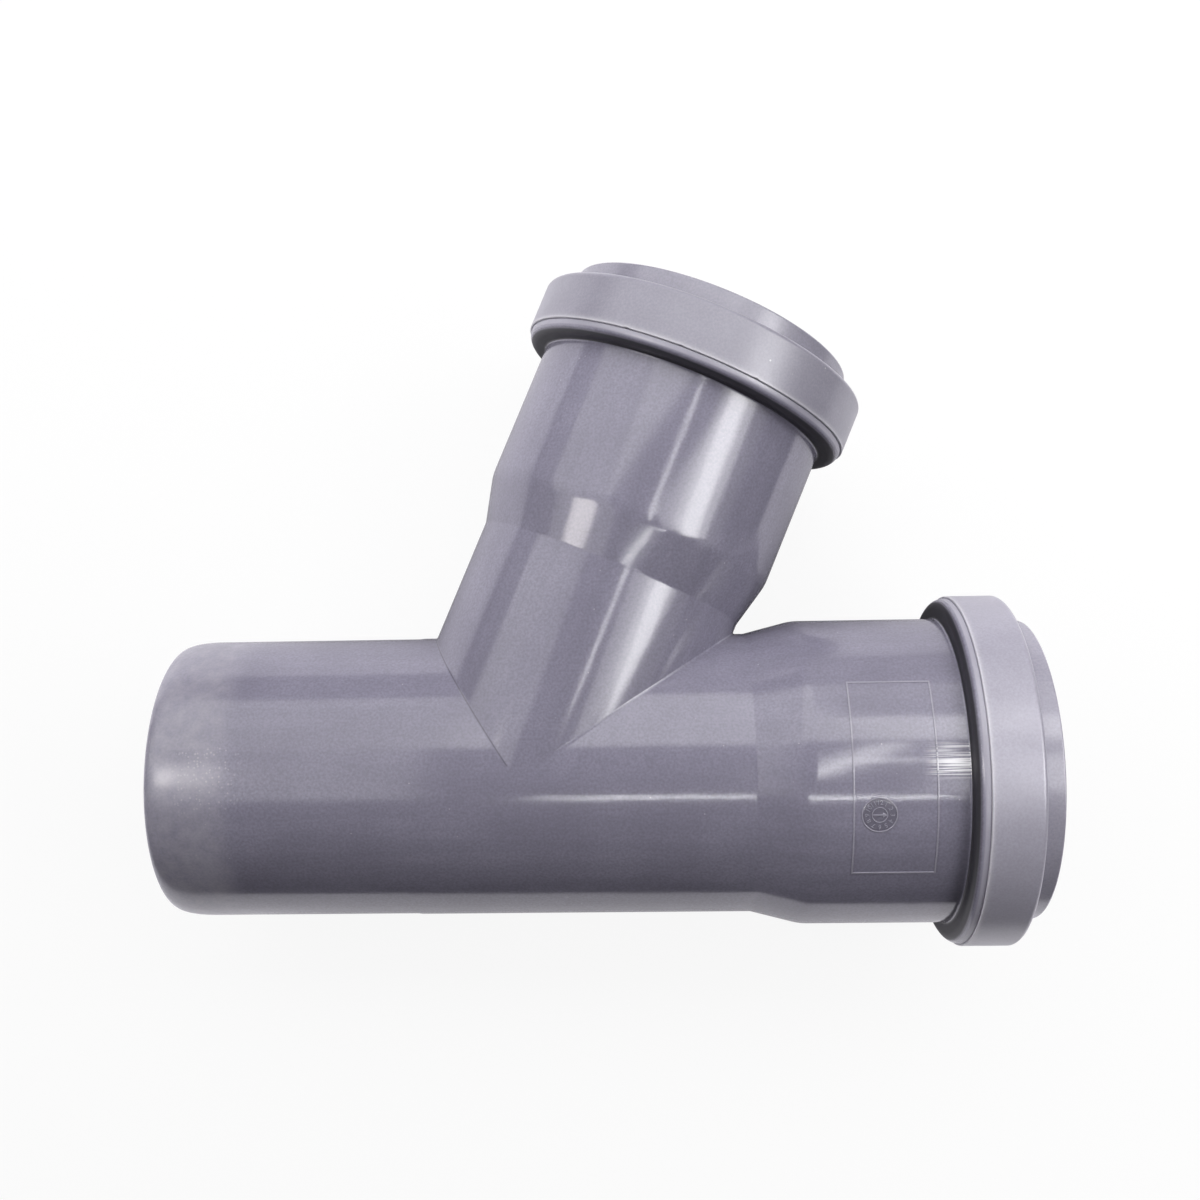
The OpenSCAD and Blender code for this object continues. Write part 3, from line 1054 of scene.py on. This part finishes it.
back_sky = patch(BACK_SKY, 12, 30, 0.6)
left_sky = calc(tree, "MULTIPLY", patch(LEFT_SKY, 15, 40, 2.0), path["Is Diffuse Ray"])
sky = nodes.new("ShaderNodeBackground")
feed(tree, calc(tree, "ADD", back_sky, left_sky), sky.inputs["Strength"])
mix = nodes.new("ShaderNodeMixShader")
feed(tree, path["Is Camera Ray"], mix.inputs["Fac"])
feed(tree, sky.outputs[0], mix.inputs[1])
feed(tree, nodes.new("ShaderNodeBackground").outputs[0], mix.inputs[2])
feed(tree, mix.outputs[0], nodes.new("ShaderNodeOutputWorld").inputs["Surface"])

# %% Lamps, as panels 300 mm above the centre lines; those for the shine alone hang a little lower
ROOF = 300
SHINE_DROP = 3
WARM = (1, 0.96, 0.92)

def lamp(name, x, y, radiance, shine_only=False, colour=(1, 1, 1), lower=0, turn=0):
    """A soft panel over ranges of x and y in millimetres from the crossing, turned by degrees."""
    data = bpy.data.lights.new(name, "AREA")
    data.shape = "RECTANGLE"
    data.size = (x[1] - x[0]) * MM
    data.size_y = (y[1] - y[0]) * MM
    data.energy = radiance * math.pi * data.size * data.size_y
    data.color = colour
    obj = bpy.data.objects.new(name, data)
    bpy.context.scene.collection.objects.link(obj)
    height = ROOF - lower - (SHINE_DROP if shine_only else 0)
    obj.location = crossing + Vector(((x[0] + x[1]) / 2, (y[0] + y[1]) / 2, height)) * MM
    obj.rotation_euler.z = math.radians(turn)
    obj.visible_camera = False
    obj.visible_diffuse = not shine_only
    return obj

# The ceiling behind the fitting, which the upper flanks of both tubes show.
lamp("roof_back_left", (-600, -68), (122, 700), 1.9)
lamp("roof_back_middle", (-68, 105), (122, 700), 3.1)
lamp("roof_back_right", (105, 600), (122, 250), 4.2)
lamp("back_shine", (108, 590), (125, 248), 1.5, shine_only=True)
lamp("roof_back_corner", (105, 600), (250, 700), 1.4)
# The ceiling at the left and far right.
lamp("roof_left", (-500, -68), (-91, 122), 1.5, shine_only=True)
lamp("roof_right", (400, 900), (-300, 300), 0.7)
# The bright panel at the right, whose shine is stronger than its light.
lamp("led_panel", (210, 390), (-110, 65), 3.6)
lamp("led_panel_top", (205, 400), (65, 122), 2.0)
lamp("led_shine", (246, 400), (-110, 65), 10, shine_only=True)
lamp("led_shine_right", (400, 520), (-110, 65), 5, shine_only=True)
lamp("led_shine_top", (270, 440), (65, 130), 6.5, shine_only=True)
# Panels beside the run socket, which end the streaks there and light the cap's collar.
lamp("side_strip", (125, 168), (-75, 58), 3.2, shine_only=True)
lamp("side_glow", (168, 240), (-75, 58), 5, shine_only=True)
# Narrow strips that draw the bright lines along the sockets.
lamp("rim_right", (92, 101), (-25, 114), 17, shine_only=True, turn=-17)
lamp("rim_front", (-20, 136), (-94, -89), 40, shine_only=True)
lamp("rim_back", (101, 124), (42, 47), 25, shine_only=True)
# A warm window, seen in the spigot's end.
lamp("left_window", (-300, -150), (-20, 48), 9, shine_only=True, colour=WARM, lower=SHINE_DROP)
# Two panels that light the sides and are never seen.
for fill in (
    lamp("fill_right", (280, 560), (-330, -100), 2.4),
    lamp("fill_left", (-520, -180), (-120, 122), 0.8),
):
    fill.visible_glossy = False
print("lamps:", len(bpy.data.lights))

# %% The view settings
bpy.context.scene.view_settings.view_transform = "Standard"

# %% What rides on the frame
for piece, node, slot in (
    (body, "wye_body", "body"),
    (run_cap, "run_cap", "cap"),
    (branch_cap, "branch_cap", "cap"),
):
    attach(piece, "root")
    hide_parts(node)
